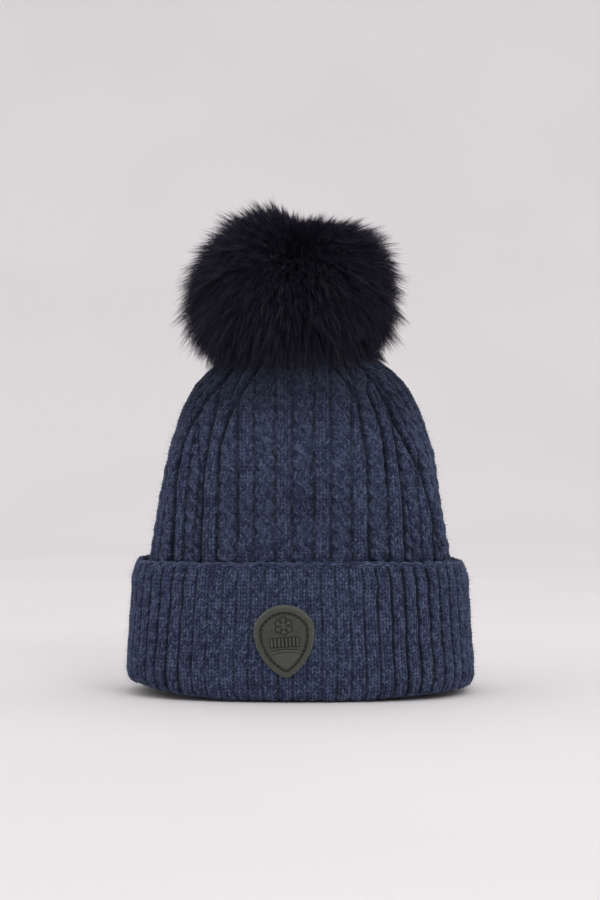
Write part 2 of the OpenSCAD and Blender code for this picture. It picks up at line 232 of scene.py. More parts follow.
# ---- Materials ----
class Paint:
    """A Principled material and short ways to add nodes to it."""

    def __init__(self, name, **sockets):
        self.material = bpy.data.materials.new(name)
        self.material.use_nodes = True
        self.tree = self.material.node_tree
        self.shader = self.tree.nodes["Principled BSDF"]
        for key, value in sockets.items():
            self.shader.inputs[key.replace("_", " ").title().replace("Ior", "IOR")].default_value = value
        self.place = self.tree.nodes.new("ShaderNodeTexCoord").outputs["Object"]

    def feed(self, socket, value):
        """Sets a socket to a constant, or joins another node's output to it."""
        if isinstance(value, bpy.types.NodeSocket):
            self.tree.links.new(value, socket)
        else:
            socket.default_value = value

    def node(self, kind, **inputs):
        node = self.tree.nodes.new(kind)
        for key, value in inputs.items():
            self.feed(node.inputs[key.replace("_", " ").title()], value)
        return node

    def noise(self, size, detail=3, roughness=0.55, stretch=(1, 1, 1)):
        """Noise whose features are about size millimetres across."""
        place = self.place
        if stretch != (1, 1, 1):
            mapping = self.node("ShaderNodeMapping", vector=place)
            mapping.inputs["Scale"].default_value = stretch
            place = mapping.outputs[0]
        return self.node("ShaderNodeTexNoise", vector=place, scale=1 / (size * MM), detail=detail,
                         roughness=roughness).outputs["Fac"]

    def attribute(self, name):
        node = self.tree.nodes.new("ShaderNodeAttribute")
        node.attribute_name = name
        return node.outputs["Fac"]

    def math(self, operation, a, b):
        node = self.tree.nodes.new("ShaderNodeMath")
        node.operation = operation
        self.feed(node.inputs[0], a)
        self.feed(node.inputs[1], b)
        return node.outputs[0]

    def add(self, a, b):
        return self.math("ADD", a, b)

    def times(self, a, b):
        return self.math("MULTIPLY", a, b)

    def ramp(self, value, *stops):
        node = self.tree.nodes.new("ShaderNodeValToRGB")
        self.feed(node.inputs[0], value)
        elements = node.color_ramp.elements
        while len(elements) < len(stops):
            elements.new(0.5)
        for element, (at, colour) in zip(elements, stops):
            element.position = at
            element.color = (*colour, 1) if isinstance(colour, tuple) else (colour, colour, colour, 1)
        return node.outputs[0]

    def multiply(self, a, b):
        node = self.tree.nodes.new("ShaderNodeMix")
        node.data_type, node.blend_type = "RGBA", "MULTIPLY"
        node.inputs["Factor"].default_value = 1
        self.feed(node.inputs[6], a)
        self.feed(node.inputs[7], b)
        return node.outputs[2]

    def colour(self, socket):
        self.feed(self.shader.inputs["Base Color"], socket)

    def roughness(self, socket):
        self.feed(self.shader.inputs["Roughness"], socket)

    def bump(self, height, depth, strength=1.0):
        """Bump of that depth in millimetres."""
        node = self.node("ShaderNodeBump", strength=strength, distance=depth * MM, height=height)
        self.feed(self.shader.inputs["Normal"], node.outputs[0])


def wool(name, dark, middle, light):
    """Marled wool: each stitch has its own shade, with flecks and fibres; painted shade from the relief attribute
    darkens the furrows and lightens the crests.
    """
    p = Paint(name, roughness=0.95, specular_ior_level=0.12, sheen_weight=0.2, sheen_roughness=0.45,
              sheen_tint=(0.55, 0.66, 0.9, 1))
    flecks = p.noise(1.15, detail=3, roughness=0.7)
    mixed = p.add(p.times(p.attribute("yarn"), 0.2), p.times(flecks, 0.8))
    drift = p.times(p.math("SUBTRACT", p.noise(11, detail=2), 0.5), 0.12)
    shade = p.ramp(p.add(mixed, drift), (0.34, dark), (0.5, middle), (0.66, light))
    # painted light and shade: the relief attribute says how much light each spot gets, dark in furrows, pale on
    # crests
    furrow = p.ramp(p.attribute("relief"), (0.0, 0.26), (0.45, 0.83), (1.0, 1.52))
    p.colour(p.multiply(shade, furrow))
    p.bump(p.add(p.noise(0.45, detail=5, roughness=0.75), p.noise(1.6, detail=2)), 0.35, 0.8)
    return p.material


def thread(name, dark, light, rough=0.85):
    p = Paint(name, roughness=rough, sheen_weight=0.2)
    p.colour(p.ramp(p.noise(0.5, detail=4), (0.3, dark), (0.7, light)))
    p.bump(p.noise(0.25, detail=3), 0.12, 0.7)
    return p.material


def fleece(name, dark, light):
    p = Paint(name, roughness=0.95, sheen_weight=0.4, sheen_roughness=0.5, sheen_tint=(0.8, 0.82, 0.9, 1))
    curls = p.noise(1.8, detail=5, roughness=0.7)
    p.colour(p.ramp(curls, (0.3, dark), (0.72, light)))
    p.bump(p.add(curls, p.noise(0.6, detail=4)), 0.6, 0.9)
    return p.material


def leather(name, dark, light, low):
    """Embossed leather: fine grain, worn paler on raised parts, with painted shade darker in the grooves."""
    p = Paint(name, specular_ior_level=0.4, coat_weight=0.05, coat_roughness=0.4)
    grain = p.noise(0.9, detail=6, roughness=0.65)
    base = p.ramp(grain, (0.3, dark), (0.7, light))
    # wear and painted shade from the relief attribute: raised parts paler, grooves and pleats given painted shade
    wear_and_shade = p.ramp(p.attribute("relief"), (0.0, low), (0.4, 0.75), (0.62, 1.05), (1.0, 1.65))
    p.colour(p.multiply(base, wear_and_shade))
    p.roughness(p.ramp(p.noise(3.0, detail=3), (0.3, 0.5), (0.7, 0.68)))
    cells = p.node("ShaderNodeTexVoronoi", vector=p.place, scale=1 / (0.7 * MM)).outputs["Distance"]
    p.bump(p.add(p.times(cells, 0.6), grain), 0.12, 0.7)
    return p.material


def metal(name):
    p = Paint(name, metallic=1.0)
    p.colour(p.ramp(p.noise(2.0, detail=3), (0.3, (0.42, 0.42, 0.43)), (0.7, (0.6, 0.6, 0.6))))
    p.roughness(p.ramp(p.noise(0.4, detail=4, stretch=(1, 1, 6)), (0.3, 0.24), (0.7, 0.4)))
    p.bump(p.noise(0.3, detail=2, stretch=(1, 1, 8)), 0.01, 0.4)
    return p.material


def hair(name, colour, rough):
    return Paint(name, base_color=(*colour, 1), roughness=rough, specular_ior_level=0.1).material


def underfur(name):
    p = Paint(name, roughness=0.9, sheen_weight=0.1)
    strands = p.noise(0.8, detail=5, stretch=(1, 1, 0.3))
    # darker than every hair shade: real underwool with painted shade deep in the fur
    p.colour(p.ramp(strands, (0.3, (0.003, 0.003, 0.004)), (0.7, (0.009, 0.0085, 0.011))))
    p.bump(p.noise(0.7, detail=4), 0.8, 1)
    return p.material


def woven(name):
    p = Paint(name, roughness=0.55, sheen_weight=0.3)
    warp = p.noise(0.35, detail=2, stretch=(1, 1, 0.12))
    p.colour(p.ramp(warp, (0.3, (0.62, 0.62, 0.6)), (0.7, (0.8, 0.8, 0.78))))
    p.bump(warp, 0.06, 0.8)
    return p.material


WOOL = wool("navy_wool", (0.012, 0.016, 0.038), (0.038, 0.051, 0.097), (0.092, 0.115, 0.195))
NAVY_YARN = thread("navy_yarn", (0.014, 0.018, 0.036), (0.04, 0.05, 0.085))
DARK_THREAD = thread("dark_thread", (0.006, 0.006, 0.007), (0.02, 0.02, 0.02), 0.6)
GREY_THREAD = thread("grey_thread", (0.2, 0.2, 0.21), (0.4, 0.4, 0.41))
FLEECE = fleece("grey_fleece", (0.04, 0.042, 0.05), (0.085, 0.09, 0.105))
FELT = fleece("dark_felt", (0.012, 0.013, 0.016), (0.03, 0.032, 0.038))
PATCH_FELT = fleece("patch_felt", (0.035, 0.044, 0.030), (0.105, 0.125, 0.088))
WADDING = fleece("white_wadding", (0.6, 0.6, 0.58), (0.85, 0.85, 0.83))
OLIVE = leather("olive_leather", (0.023, 0.0245, 0.0195), (0.058, 0.0625, 0.049), 0.05)
HIDE = leather("black_hide", (0.006, 0.006, 0.007), (0.014, 0.013, 0.014), 0.8)
STEEL = metal("snap_steel")
WOOL_PLAIN = thread("gather_wool", (0.016, 0.02, 0.04), (0.075, 0.09, 0.14), 0.95)
FUZZ = hair("wool_fibre", (0.11, 0.13, 0.19), 0.7)
LABEL_TAPE = woven("label_tape")
UNDERFUR = underfur("fur_underwool")
FUR_SHADES = [hair("fur_black", (0.017, 0.015, 0.026), 0.45),
              hair("fur_blue_black", (0.031, 0.029, 0.056), 0.4),
              hair("fur_brown_black", (0.040, 0.036, 0.039), 0.45),
              hair("fur_grey", (0.11, 0.10, 0.10), 0.5)]


# ---- Knit ----
LEG_SHADES = rng.random((512, 512))     # of a stitch's leg, by column and row
STITCH_LIGHT = 0.16                     # share of the light that reaches between two stitches


def stitches(x, v, width):
    """Columns of V-shaped stitches: their relief, 0 to 1, and a random shade for each leg of a V."""
    s = x / width - np.floor(x / width)
    out = np.abs(2 * s - 1)
    climb = v - 0.8 * out
    phase = climb - np.floor(climb)
    across = np.sin(np.pi * np.clip(out, 0.02, 0.98)) ** 0.85
    relief = across * (0.08 + 0.92 * np.sin(np.pi * phase) ** 0.9)
    leg = (2 * np.floor(x / width) + (s > 0.5)).astype(int)
    return relief, LEG_SHADES[leg % 512, np.floor(climb).astype(int) % 512]


def rounded(x, half, power):
    """A ridge with soft shoulders: 1 in the middle, 0 from half outwards."""
    return np.sqrt(np.clip(1 - np.abs(x / half) ** power, 0, 1))


def cuff_knit(turns, v, spread_open):
    """Two-stitch ribs with a furrow between: height in millimetres, how open it lies to light, and shade."""
    period, closed_half, width = 8.8, 4.3, 3.8
    place = turns * CUFF_RIBS + 0.5
    x = (place - np.floor(place) - 0.5) * period
    relief, shade = stitches(x + np.floor(place) * 400 * width, v, width)
    closed = 0.6 * (1 - spread_open)
    rib = rounded(x, closed_half - 0.6 + closed, 3.4)
    light = (closed + (1 - closed) * rib) * (STITCH_LIGHT + (1 - STITCH_LIGHT) * relief)
    return (0.9 + 1.3 * spread_open) * rib + 1.05 * relief * (0.4 + 0.6 * rib), light, shade


def crown_knit(turns, v, spread_open):
    """Rope cables of two crossing strands, between two-stitch ribs, in the terms of cuff_knit."""
    period, cable_share, rows_a_cross = 22.4, 0.54, 4
    place = turns * CROWN_REPEATS - (FRONT * CROWN_REPEATS + 0.08) + cable_share / 2
    x = (place - np.floor(place) - cable_share / 2) * period
    repeat = np.floor(place) % CROWN_REPEATS
    strand_half, swing, stitch = 3.1, 2.75, 2.8
    bed = rounded(x, 5.8, 5)
    height, light, shade = 1.0 * bed, 0.12 * bed, np.full(x.shape, 0.4)
    for k in (0, 1):
        phase = np.pi * (v / rows_a_cross + k + 0.1 * np.sin(repeat * 2.4))
        lateral, front = np.cos(phase), np.sin(phase)
        off = x - swing * np.sign(lateral) * np.abs(lateral) ** 0.62
        relief, leg = stitches(off + repeat * 900 * stitch + k * 300 * stitch, v, stitch)
        strand = rounded(off, strand_half, 3)
        top = np.where(strand > 0, 1.0 + 1.25 * strand + 0.6 * front * strand + 0.85 * relief * strand, 0)
        over = top > height
        shade = np.where(over, leg, shade)
        light = np.where(over, (0.25 + 0.75 * strand) * (0.22 + 0.12 * front + 0.66 * relief), light)
        height = np.maximum(height, top)
    rib_x, rib_half, rib_stitch = x - period / 2, 4.6, 3.9
    relief, leg = stitches(rib_x + (1200 + repeat * 20) * rib_stitch, v, rib_stitch)
    rib = rounded(rib_x, rib_half, 4)
    top = 2.1 * rib + 1.0 * relief * (0.3 + 0.7 * rib)
    shade = np.where(top > height, leg, shade)
    light = np.where(top > height, (0.1 + 0.9 * rib) * (STITCH_LIGHT + (1 - STITCH_LIGHT) * relief), light)
    closed = 1 - spread_open
    height, light = height + 0.55 * closed * (3 - height), light + 0.4 * closed * (0.42 - light)
    return np.maximum(height, top), light, shade


CROWN_ROWS = [          # share of the way up, half width, half depth, power
    (0, 0.870, 0.815, 2.5), (0.10, 0.853, 0.830, 2.5), (0.21, 0.830, 0.845, 2.5), (0.40, 0.789, 0.853, 2.4),
    (0.53, 0.752, 0.848, 2.4), (0.625, 0.711, 0.830, 2.3), (0.73, 0.656, 0.795, 2.2),
    (0.815, 0.580, 0.740, 2.1), (0.88, 0.490, 0.650, 2), (0.93, 0.385, 0.530, 2), (0.972, 0.245, 0.345, 2),
    (0.993, 0.120, 0.170, 2)]


def crown_stations():
    rows = [(LINK_Z + z * (CROWN_Z - LINK_Z), a * HALF_W, b * HALF_D, p) for z, a, b, p in CROWN_ROWS]
    return np.array(rows + [(CROWN_Z + 0.2, 6.5, 7.5, 2), (CROWN_Z + 0.2, 3.4, 3.4, 2)])


def crown_section(step):
    """The crown's outer face as stations every step millimetres, and how far up the face each is."""
    knots = crown_stations()
    s = along(knots[:, :2])
    at = np.linspace(0, s[-1], int(s[-1] / step) + 1)
    return spline(at, s, knots), at


# Gathers down from the crown's top: on the front (1) or back (-1), depth, width, the share of the lost
# width that each swallows, and points (height, x).
FOLDS = ((1, 5.0, 2.6, 0.19, ((60, 88), (88, 87), (115, 81), (137, 75), (161, 62), (173, 56.5), (192, 47),
                              (206, 34))),
         (1, 2.6, 1.9, 0.04, ((110, 55), (127, 54), (140, 53), (162, 51), (176, 46), (186, 41))),
         (1, 2.4, 1.8, 0.0, ((60, 69), (96, 68.6), (127, 65), (148, 60.5))),
         (1, 2.6, 2.0, 0.07, ((136, 39), (158, 38.5), (181, 35), (192, 29), (206, 18))),
         (1, 3.0, 2.2, 0.09, ((128, -50.5), (152, -49.5), (171, -43.5), (185, -37), (206, -24))),
         (1, 4.4, 2.6, 0.18, ((60, -79), (88, -79), (134, -77), (154, -73), (168, -67), (181, -59),
                              (206, -38))),
         (1, 1.8, 1.8, 0.0, ((70, -65), (96, -65), (140, -61), (160, -62.5))),
         (-1, 4.0, 2.8, 0.15, ((66, 84), (92, 82), (140, 74), (165, 60), (190, 44), (206, 32))),
         (-1, 2.8, 2.2, 0.07, ((120, 34), (160, 30), (190, 20), (206, 14))),
         (-1, 2.6, 2.2, 0.07, ((125, -24), (165, -21), (190, -15), (206, -10))),
         (-1, 4.0, 2.8, 0.14, ((66, -86), (92, -84), (140, -76), (165, -62), (190, -46), (206, -33))))


def fold_places(base, girth):
    """For each fold: depth, width, share of the lost width, strength at each row, and millimetres past it."""
    columns, z = base.shape[1], base[:, 0, 2]
    half = np.arange(columns // 2)
    for side, depth, width, share, line in FOLDS:
        at_z, at_x = np.array(line, float).T
        index = columns // 2 + half if side > 0 else half[::-1]
        wanted = np.interp(z, at_z, at_x)
        middle = np.array([np.interp(x, row[index, 0], index) for x, row in zip(wanted, base)])
        fade = smooth((z - at_z[0]) / 28) * smooth((at_z[-1] + 14 - z) / 14)
        past = (np.arange(columns)[None] - middle[:, None]) * (girth / columns)[:, None]
        yield depth, width, share, fade[:, None], past


def gathered(base, girth):
    """The folds' lift, and each point's place in the knit, in turns: folds swallow what the crown loses."""
    rows, columns = base.shape[:2]
    plain = np.arange(columns)[None] / columns
    lost = np.clip(1 - girth / girth[0], 0, 0.5)[:, None]
    lift, stepped, taken = np.zeros((rows, columns)), 0, 0
    for depth, width, share, fade, past in fold_places(base, girth):
        lift += fade * depth * (0.35 * np.exp(-(past / (2.4 * width)) ** 2) - np.exp(-(past / width) ** 2))
        part = share * fade * lost
        stepped, taken = stepped + part * smooth(past / (2.2 * width) + 0.5), taken + part
    turns = plain * (1 - taken) + stepped
    front = int(FRONT * columns)
    return lift, turns - turns[:, front:front + 1] + FRONT


def make_crown():
    columns = CROWN_REPEATS * 56
    stations, s = crown_section(0.48)
    base = rings(stations, columns)
    out = grid_normals(base)
    rows = len(s)
    girth = np.linalg.norm(np.diff(base[:, :2], axis=1), axis=-1)[:, 0] * columns
    full = smooth(girth / 150)[:, None]             # falls to 0 at the gather
    lift, turns = gathered(base, girth)
    packed = np.gradient(turns, axis=1) * columns * girth[0] / girth[:, None]
    turns = turns + 0.0007 * soft_noise(rows, columns, 26, 56) + 0.0005 * soft_noise(rows, columns, 9, 14)
    v = (s[:, None] + 0.7 * soft_noise(rows, columns, 30, 70)) / ROW
    side = smooth((np.abs(base[..., 0]) - 22) / 50)
    spread_open = np.clip(0.22 + 0.75 * side + 0.5 * soft_noise(rows, columns, 24, 24), 0, 1)
    height, light, shade = crown_knit(turns, v, spread_open)
    height = height * full * (1 + 0.12 * soft_noise(rows, columns, 14, 28))
    height += 0.16 * soft_noise(rows, columns, 2, 3)
    crush = np.clip(1.6 / np.maximum(packed, 0.1), 0.15, 1)
    # painted shade: knit packed tight at the gathers is made darker
    height, light = 1.6 + (height - 1.6) * crush, light * (0.45 + 0.55 * crush)
    lift += 0.7 * soft_noise(rows, columns, 80, 140) * full
    seam = np.exp(-(((np.arange(columns)[None] / columns - BACK) * 480) / 1.6) ** 2)
    # painted shade in the folds' creases, and a painted shadow of the pom pom that darkens the crown towards its
    # top
    light = light * (1 - 0.85 * smooth(-lift / 1.7)) * (1 - 0.76 * smooth((base[..., 2] - 154) / 36))
    sunk, at_gather = 3.1, 3.3                      # the knit's foot is sunk, but comes up at the gather
    proud = np.maximum(height - sunk + lift + at_gather * (1 - full), -0.8 - sunk) - 0.7 * seam * full
    proud = np.minimum(proud, 4 * smooth((girth - 60) / 60)[:, None] - 0.15)
    grid = base + out * proud[..., None]
    inside = (base - out * (KNIT_T + 0.7))[::-24]
    # the relief attribute carries this painted shade, darker again along the back seam's dent
    values = {"yarn": np.vstack([shade, np.full(inside.shape[:2], 0.5)]),
              "relief": np.vstack([light * (1 - 0.5 * seam), np.full(inside.shape[:2], 0.4)])}
    points = np.vstack([grid, inside])
    make("crown_cable_knit", points.reshape(-1, 3), [quads(len(points), columns, True)], WOOL, "hat",
         values, ["crown_knit"])
    return grid, out


# The cuff's section, once round: (height, distance in from the widest line).
CUFF_SECTION = np.array([
    (78, 18.2), (50, 16.4), (25, 14.6), (12, 13.6), (4, 12.4), (1.0, 11), (0.3, 9), (0.3, 6), (1.6, 3),
    (5, 1.1), (10, 0.3), (18, 0), (35, 1.2), (60, 3.6), (76, 5.4), (81, 7.2), (81.5, 9), (80.5, 10.8),
    (75, 10.8), (50, 8.6), (25, 6.8), (14, 6.9), (14, 9.3), (25, 10.2), (50, 12), (78, 14.2)])


def cuff_section():
    """Stations once round the cuff's section, dense where it shows, and each one's distance from the fold."""
    knots = np.vstack([CUFF_SECTION[-2:], CUFF_SECTION, CUFF_SECTION[:3]])
    s = along(knots)
    shown, hidden = 0.42, 3.0
    first, last, fold = s[2], s[2 + len(CUFF_SECTION)], s[8]
    dense_from, dense_to = s[4], s[18]
    at = np.concatenate([np.arange(first, dense_from, hidden), np.arange(dense_from, dense_to, shown),
                         np.arange(dense_to, last, hidden * 0.5)])
    at = at[at < last - 0.5]
    section = spline(at, s, knots)
    stations = [(z, HALF_W - inset, HALF_D - inset, SQUARE) for z, inset in section]
    shows = smooth((at - dense_from) / 6) * smooth((dense_to + 3 - at) / 3)
    return np.array(stations), at - fold, shows


def make_cuff():
    columns = CUFF_RIBS * 20
    stations, s, shows = cuff_section()
    base = rings(stations, columns)
    out = grid_normals(base, closed=True)
    rows = len(s)
    turns = np.arange(columns)[None] / columns + 0.0009 * soft_noise(rows, columns, 26, 40)
    v = (s[:, None] + 0.6 * soft_noise(rows, columns, 30, 60)) / ROW
    side = smooth((base[..., 0] - 28) / 40) + smooth((-base[..., 0] - 58) / 28)
    spread_open = np.clip(0.1 + 0.9 * side + 0.4 * soft_noise(rows, columns, 22, 20), 0, 1)
    height, light, shade = cuff_knit(turns, v, spread_open)
    show = shows[:, None]
    height = height * (0.55 + 0.45 * show) * (1 + 0.1 * soft_noise(rows, columns, 14, 20))
    height += 0.13 * soft_noise(rows, columns, 2, 3) * show
    top_x = base[stations[:, 0].argmax(), :, 0]
    sway = soft_noise(1, columns, 1, 150) - 2.8 * smooth((top_x - 82) / 26)
    lift = 0.8 * soft_noise(rows, columns, 90, 160) * show
    seam = np.exp(-(((turns - BACK) * 590) / 1.6) ** 2) * show
    grid = base + out * (height - 2.35 + lift - 1.3 * seam)[..., None]
    grid[..., 2] += 0.8 * sway * smooth(grid[..., 2] / 80)
    grid[..., 2] = np.maximum(grid[..., 2], 0.05)
    left = np.clip((-grid[..., 0] - 46) / 52, 0, 1) ** 1.5
    right = np.clip((grid[..., 0] - 28) / 68, 0, 1)
    grid[..., 2] += (6.6 * left + 3.9 * right) * (1 - smooth(grid[..., 2] / 18))    # lifted corners
    # painted shade: the relief attribute darkens the furrows between ribs, and the back seam's dent more
    values = {"yarn": shade, "relief": light * (1 - 0.5 * seam)}
    make("cuff_rib_knit", grid.reshape(-1, 3), [quads(rows, columns, True)], WOOL, "hat",
         values, ["rib_cuff"])
    face = (s > 2) & (s < 90) & (shows > 0.5)
    return grid[face], out[face], sway[0]


def make_bind_off(sway):
    """The chain of bound-off stitches on the cuff's top edge."""
    columns = CUFF_RIBS * 16
    x, y = ring(HALF_W - 8.4, HALF_D - 8.4, SQUARE, columns)
    scallop = 0.4 * np.cos(circle(columns) * CUFF_RIBS) + 0.32 * soft_noise(1, columns, 1, 9)[0]
    dips = 0.8 * np.interp(circle(columns), circle(len(sway)), sway)
    path = np.stack([x, y, EDGE_Z + 0.2 + scallop + dips], -1)
    girth = along(np.vstack([path, path[:1]]))[-1]
    shade = {}

    def relief(arc, turn):
        over = ((turn - np.pi / 2 + np.pi) % (2 * np.pi) - np.pi) * 2.3
        shade["relief"], shade["leg"] = stitches(over + 2.2, arc / girth * CUFF_RIBS * 2, 4.4)
        return (1 + 0.55 * shade["relief"]) * np.where(np.sin(turn) < 0, 0.9, 1)

    points, faces = tube(path, 1.4, 24, relief)
    # painted shade between the chain's stitches, through the relief attribute
    values = {"yarn": shade["leg"], "relief": 0.12 + 0.8 * shade["relief"]}
    make("cuff_bound_edge", points, [faces], WOOL, "hat", values, ["cuff_bind_off"])


def make_fuzz(name, grid, out, count, length):
    """Stray fibres that stand off the knit."""
    i, j = rng.integers(0, grid.shape[0], count), rng.integers(0, grid.shape[1], count)
    root, normal = grid[i, j], out[i, j]
    lean = unit(rng.normal(size=(count, 3)))
    reach = length * rng.uniform(0.4, 1.3, (count, 1, 1))
    t, taper, radius = np.linspace(0, 1, 5)[None, :, None], np.array([[1, 0.9, 0.75, 0.5]]), 0.045
    wander = unit(rng.normal(size=(count, 3)))
    lines = (root[:, None] + reach * t * (0.55 * normal + 0.7 * lean)[:, None]
             + reach * 0.5 * t * t * wander[:, None])
    lines[..., 2] = np.maximum(lines[..., 2], 0.1)
    radii = radius * taper * np.ones((count, 1))
    points, faces = strand_mesh(lines, radii)
    make(name, points, faces, FUZZ, "hat")


# ---- Lining and seams ----
def lining_stations(inset):
    """Stations of the space inside the knit, moved in by inset."""
    knots = crown_stations()
    inner = [(z, HALF_W - wall - inset, HALF_D - wall - inset, SQUARE)
             for z, wall in ((LINING_FOOT, 14.4), (50, 16.4))]
    for i in range(len(knots) - 3):
        low, high = knots[max(i - 1, 0)], knots[i + 1]
        run = unit(np.array([high[0] - low[0], low[1] - high[1]]))
        t = KNIT_T + inset + 0.25 * i
        z = min(knots[i][0] - t * run[1], LINING_TOP - 0.8 - (inset - 0.8))
        inner.append((z, knots[i][1] - t * run[0], knots[i][2] - t * run[0], knots[i][3]))
    inner.append((LINING_TOP - (inset - 0.8), 5, 5, 2))
    return np.array(inner)


def make_lining():
    columns, rows = 420, 170
    skins = []
    for inset in (0.9, 0.9 + LINING_T):
        knots = lining_stations(inset)
        s = along(knots[:, :2])
        skins.append(rings(spline(np.linspace(0, s[-1], rows), s, knots), columns))
    outer, inner = skins[0][::8], skins[1]
    pile = 0.35 * soft_noise(rows, columns, 2, 2) + 0.5 * soft_noise(rows, columns, 9, 14)
    inner = inner - grid_normals(inner) * np.abs(pile)[..., None]
    points = np.vstack([outer, inner[::-1]])
    make("lining_fleece", points.reshape(-1, 3), [quads(len(points), columns, True)], FLEECE, "hat",
         stands_for=["fleece_lining"])


def twisted(plies, pitch, depth):
    """The relief of a thread twisted from plies, for tube."""
    return lambda arc, turn: 1 + depth * np.abs(np.cos(plies * (turn / 2 - np.pi * arc / pitch))) - depth / 2


def ring_cord(name, node, z, half, radius, n, relief, material, body="hat", power=2):
    """A thread round the hat at height z, as half of (width, depth) says."""
    x, y = ring(half[0], half[1], power, n)
    points, faces = tube(np.stack([x, y, np.full(n, z)], -1), radius, 14, relief)
    make(name, points, [faces], material, body, stands_for=[node])


def closed_cord(name, node, share, n, relief, material, body):
    """A round cord in the place of its CAD ring, its radius a share of the CAD's."""
    low, high = corners(node)
    r = (high[2] - low[2]) / 2
    ring_cord(name, node, low[2] + r, (high[0] - r, high[0] - r), r * share, n, relief, material, body)


def make_seams():
    foot = (HALF_W - 15.5, HALF_D - 15.5)
    ring_cord("lining_overlock", "lining_seam", LINING_FOOT - 0.95, foot, 0.85, 1500, twisted(2, 2.2, 0.5),
              NAVY_YARN, power=SQUARE)
    low, high = corners("linking_seam")
    ring_cord("linking_chain", "linking_seam", (low[2] + high[2]) / 2, high[:2] - 0.3, 0.28, 900,
              twisted(2, 1.6, 0.3), NAVY_YARN, power=SQUARE)
    closed_cord("gather_yarn", "crown_gather_yarn", 0.92, 320, twisted(3, 6, 0.3), WOOL_PLAIN,
                "hat")
    closed_cord("pelt_drawcord", "pompom_drawcord", 0.9, 360, twisted(3, 3.5, 0.3), DARK_THREAD,
                "pompom")


# ---- Patch ----
PATCH_W, PATCH_H = 35.2, 43.0
PATCH_X, PATCH_Z, PATCH_TURN = -9.2, 36.5, math.radians(4)
PATCH_OFF = 1.25                    # the felt's thickness, under the leather
SHOULDER_Y = PATCH_H * 0.22
TOP_R = ((PATCH_W / 2) ** 2 + (PATCH_H / 2 - SHOULDER_Y) ** 2) / (PATCH_H - 2 * SHOULDER_Y)
TOP_Y = PATCH_H / 2 - TOP_R
SIDE_R, SIDE_Y = 31.8, 7.3
SIDE_X = PATCH_W / 2 - SIDE_R


def soft_min(a, b, k):
    """The smaller of a and b, rounded by about k where they cross."""
    return -k * np.log(np.exp(-a / k) + np.exp(-b / k))


def inside_shield(x, y):
    """How far a point is inside the shield's edge, in millimetres."""
    left, right = (SIDE_R - np.hypot(sign * x - SIDE_X, y - SIDE_Y) for sign in (-1, 1))
    top = np.where(y > TOP_Y, TOP_R - np.hypot(x, y - TOP_Y), 99)
    return soft_min(soft_min(left, right, 0.7), top, 0.15)


def shield_edge(angles, inset=0.0):
    """Distance from the shield's middle to its edge, moved in by inset, along each angle."""
    return edge_reach(lambda r: inside_shield(r * np.cos(angles), r * np.sin(angles)) > inset,
                      len(angles), 40.0, 30)


def groove_inset(angles):
    """How far the stitched groove lies inside the shield's edge: the rim is widest at the top."""
    return 3.2 + 1.1 * smooth(np.sin(angles))


def on_cuff(x, y, off):
    """Points of the patch's plane, wrapped on the cuff's front at a distance off it."""
    c, s = math.cos(PATCH_TURN), math.sin(PATCH_TURN)
    px, pz = PATCH_X + c * x - s * y, PATCH_Z + s * x + c * y
    knots = CUFF_SECTION[11:15]
    inset = np.interp(pz, knots[:, 0], knots[:, 1])
    a, b = HALF_W - inset, HALF_D - inset
    face = b * (1 - np.abs(px / a) ** SQUARE) ** (1 / SQUARE)
    return np.stack([px, -(face + off), pz], -1)


def bar(x, y, x0, y0, angle, length, width):
    """1 inside a straight bar with soft edges, 0 outside."""
    c, s = math.cos(angle), math.sin(angle)
    along_bar, off_bar = (x - x0) * c + (y - y0) * s, np.abs((y - y0) * c - (x - x0) * s)
    soft = 0.22
    return (smooth((width / 2 - off_bar) / soft + 0.5) * smooth(along_bar / soft + 0.5)
            * smooth((length - along_bar) / soft + 0.5))


def emblem(x, y, grow=0.0):
    """The raised design, grown all round: a plain snowflake over a row of bars and an arched line."""
    raised = np.zeros(x.shape)
    for k in range(6):
        angle = math.radians(30 + 60 * k)
        raised = np.maximum(raised, bar(x, y, 0, 9.6, angle, 5.4 + grow, 0.9 + 2 * grow))
        tip_x, tip_y = 3.0 * math.cos(angle), 9.6 + 3.0 * math.sin(angle)
        for turn in (-50, 50):
            raised = np.maximum(raised, bar(x, y, tip_x, tip_y, angle + math.radians(turn), 2.1 + grow,
                                            0.75 + 2 * grow))
    for k in range(8):
        raised = np.maximum(raised, bar(x, y, (k - 3.5) * 2.2, -2.5 - grow, math.pi / 2, 5 + 2 * grow,
                                        1.15 + 2 * grow))
    arc = np.abs(np.hypot(x, y + 31.6) - 26.7)
    return np.maximum(raised, smooth((0.45 + grow - arc) / 0.22 + 0.5) * (np.abs(x) < 10.5 + grow))


